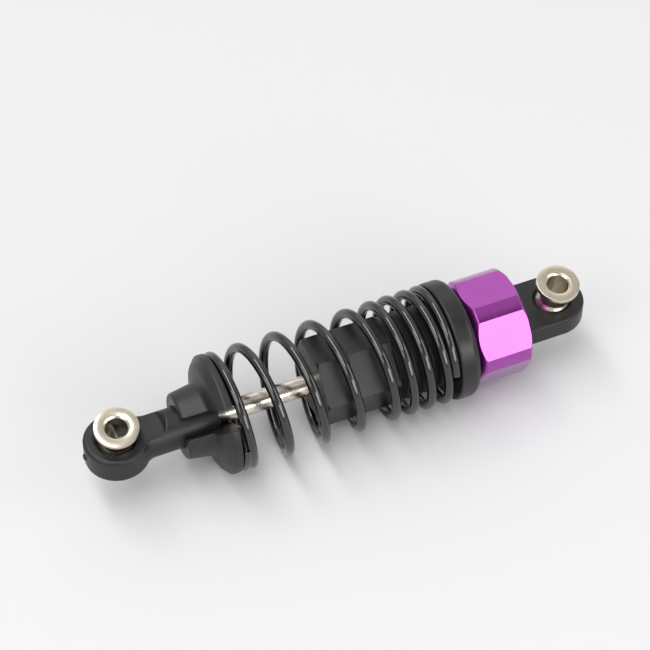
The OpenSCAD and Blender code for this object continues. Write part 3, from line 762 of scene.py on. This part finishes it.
# ---- Lower eye: lower_eye -------------------------------------------------------------------
# The rod end, moulded in black nylon: a thick round eye on a round shank that screws onto the rod.
# The shank is cut back to a flat on each face near the eye, and the gate left a small nib in front.
lower_thick = 4.2
eye_edge = 0.55
shank_r = 3.0
scoop_r = 6.6
scoop_lift = 0.8
scoop_deep = 1.2
flare = 0.5
gate_r = 0.45
gate_len = 1.2
gate_show = 0.25
shank_end = web_foot
rod_grip = 4.5

half = lower_thick / 2
rod_end = turned([(-half, 0, 0), (-half, eye_r, eye_edge), (half, eye_r, eye_edge), (half, 0, 0)])
bmesh.ops.rotate(rod_end, verts=rod_end.verts, matrix=Matrix.Rotation(-tau / 4, 3, "Y"))
reach = shank_end - lower_x
shank = turned([(0, 0, 0), (0, shank_r + flare, 0), (eye_r - 1.4, shank_r + flare, 0),
                (eye_r - 0.4, shank_r, 0.6), (reach, shank_r, 0.3), (reach, 0, 0)], steps=96)
scoops = []
for side in (1, -1):
    scoop = bmesh.new()
    bmesh.ops.create_cone(scoop, cap_ends=True, segments=192, radius1=scoop_r, depth=scoop_deep,
                          radius2=scoop_r + scoop_lift)
    bmesh.ops.translate(scoop, verts=scoop.verts, vec=(0, 0, half + scoop_deep / 2))
    if side < 0:
        bmesh.ops.rotate(scoop, verts=scoop.verts, matrix=Matrix.Rotation(tau / 2, 3, "X"))
    scoops.append(scoop)
shank = combined(shank, "DIFFERENCE", *scoops)
gate = bmesh.new()
bmesh.ops.create_cone(gate, cap_ends=True, segments=32, radius1=gate_r, radius2=gate_r,
                      depth=gate_len)
bmesh.ops.rotate(gate, verts=gate.verts, matrix=Matrix.Rotation(tau / 4, 3, "Y"))
bmesh.ops.translate(gate, verts=gate.verts, vec=(gate_len / 2 - eye_r - gate_show, 0, 0))
rod_end = combined(rod_end, "UNION", shank, gate)
socket = turned([(reach - rod_grip - 0.4, 0, 0), (reach - rod_grip - 0.4, rod_r, 0),
                 (reach + 1, rod_r, 0), (reach + 1, 0, 0)], steps=96)
rod_end = combined(rod_end, "DIFFERENCE", socket, *eye_seat(lower_thick))
bmesh.ops.translate(rod_end, verts=rod_end.verts, vec=(lower_x, 0, 0))
rod_end = modified(rod_end, ("REMESH", {"mode": "VOXEL", "voxel_size": 0.1}),
                   ("SMOOTH", {"factor": 0.5, "iterations": 3}))
make_piece(rod_end, "rod_end", eye_nylon, "rod", "eye_nylon", "lower_eye", crease=60, weighted=False)


# ---- Coil spring: coil_spring ---------------------------------------------------------------
# Progressive spring of 1.4 mm wire, wound right-handed and coated glossy black. It is wide below
# and tight above, with the wire's cut end showing next to the collar.
wire_r = 0.7
coil_r = spring_r - wire_r
first_angle = -185
dead_turns = 0.66
blend_turns = 0.45
wide_turns = 3.7
tight_turns = 2.95
last_turns = 0.32
tight_pitch = 2.64
coil_steps = 72
wire_sides = 24

spring_low, spring_high = span("coil_spring")
coil_foot, coil_top = spring_low.x + wire_r, spring_high.x - wire_r
tight_start = dead_turns + blend_turns + wide_turns
flat_start = tight_start + blend_turns + tight_turns
all_turns = flat_start + blend_turns + last_turns
wide_pitch = ((coil_top - coil_foot - tight_pitch * (flat_start - tight_start))
              / (tight_start - dead_turns))


def pitch_turns(turns, start):
    """Turns run since a pitch began to build up, blending in over blend_turns."""
    if turns < start:
        return 0.0
    if turns < start + blend_turns:
        return (turns - start) ** 2 / (2 * blend_turns)
    return turns - start - blend_turns / 2


def coil_station(turns):
    """Station of the wire's centre after some turns."""
    wide = pitch_turns(turns, dead_turns) - pitch_turns(turns, tight_start)
    tight = pitch_turns(turns, tight_start) - pitch_turns(turns, flat_start)
    return coil_foot + wide_pitch * wide + tight_pitch * tight


spring = bmesh.new()
bmesh.ops.create_circle(spring, segments=wire_sides, radius=wire_r)
bmesh.ops.rotate(spring, verts=spring.verts, matrix=Matrix.Rotation(tau / 4, 3, "X"))
bmesh.ops.translate(spring, verts=spring.verts, vec=(coil_foot, 0, coil_r))
bmesh.ops.rotate(spring, verts=spring.verts, cent=(0, 0, 0),
                 matrix=Matrix.Rotation(radians(first_angle) - tau / 4, 3, "X"))
ends = spring.edges[:]
steps = ceil(all_turns * coil_steps)
ring = spring.verts[:] + spring.edges[:]
for step in range(steps):
    rise = coil_station(all_turns * (step + 1) / steps) - coil_station(all_turns * step / steps)
    wound = bmesh.ops.spin(spring, geom=ring, cent=(0, 0, 0), axis=X_AXIS, dvec=(rise, 0, 0),
                           angle=tau * all_turns / steps, steps=1)
    ring = wound["geom_last"]
ends += [e for e in ring if isinstance(e, bmesh.types.BMEdge)]
bmesh.ops.holes_fill(spring, edges=ends, sides=0)
bmesh.ops.recalc_face_normals(spring, faces=spring.faces)
ease(spring, 0.12, sharper=60)

coated, shader = finish_named("spring_wire_gloss_coated")
place = add(coated, "ShaderNodeTexCoord").outputs["Object"]
# The coat runs a little thick and thin along the wire, over about 0.6 mm
runs = add(coated, "ShaderNodeTexNoise",
           {"Vector": place, "Scale": 1 / (0.6 * MM), "Detail": 3.0, "Roughness": 0.55})
# Nicks and dust from handling, under 0.35 mm, where the coat is dull
nicks = add(coated, "ShaderNodeTexNoise",
            {"Vector": place, "Scale": 1 / (0.35 * MM), "Detail": 5.0, "Roughness": 0.7})
dull = add(coated, "ShaderNodeMapRange",
           {"Value": nicks.outputs["Fac"], "From Min": 0.58, "From Max": 0.72})
tone = add(coated, "ShaderNodeMix",
           {"Factor": dull.outputs["Result"], "A": linear("0A0908"), "B": linear("1E1B19")},
           data_type="RGBA")
link(coated, tone.outputs["Result"], shader.inputs["Base Color"])
rough = add(coated, "ShaderNodeMapRange",
            {"Value": dull.outputs["Result"], "To Min": 0.13, "To Max": 0.40})
link(coated, rough.outputs["Result"], shader.inputs["Roughness"])
bump = add(coated, "ShaderNodeBump",
           {"Height": runs.outputs["Fac"], "Strength": 0.2, "Distance": 0.03 * MM})
link(coated, bump.outputs["Normal"], shader.inputs["Normal"])
# A hard dense coat: its gloss is stronger than plain paint's
shader.inputs["IOR"].default_value = 1.72
spring = make_piece(spring, "progressive_spring", coated, "damper", "spring_black", "coil_spring",
                    weighted=False)
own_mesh(spring)
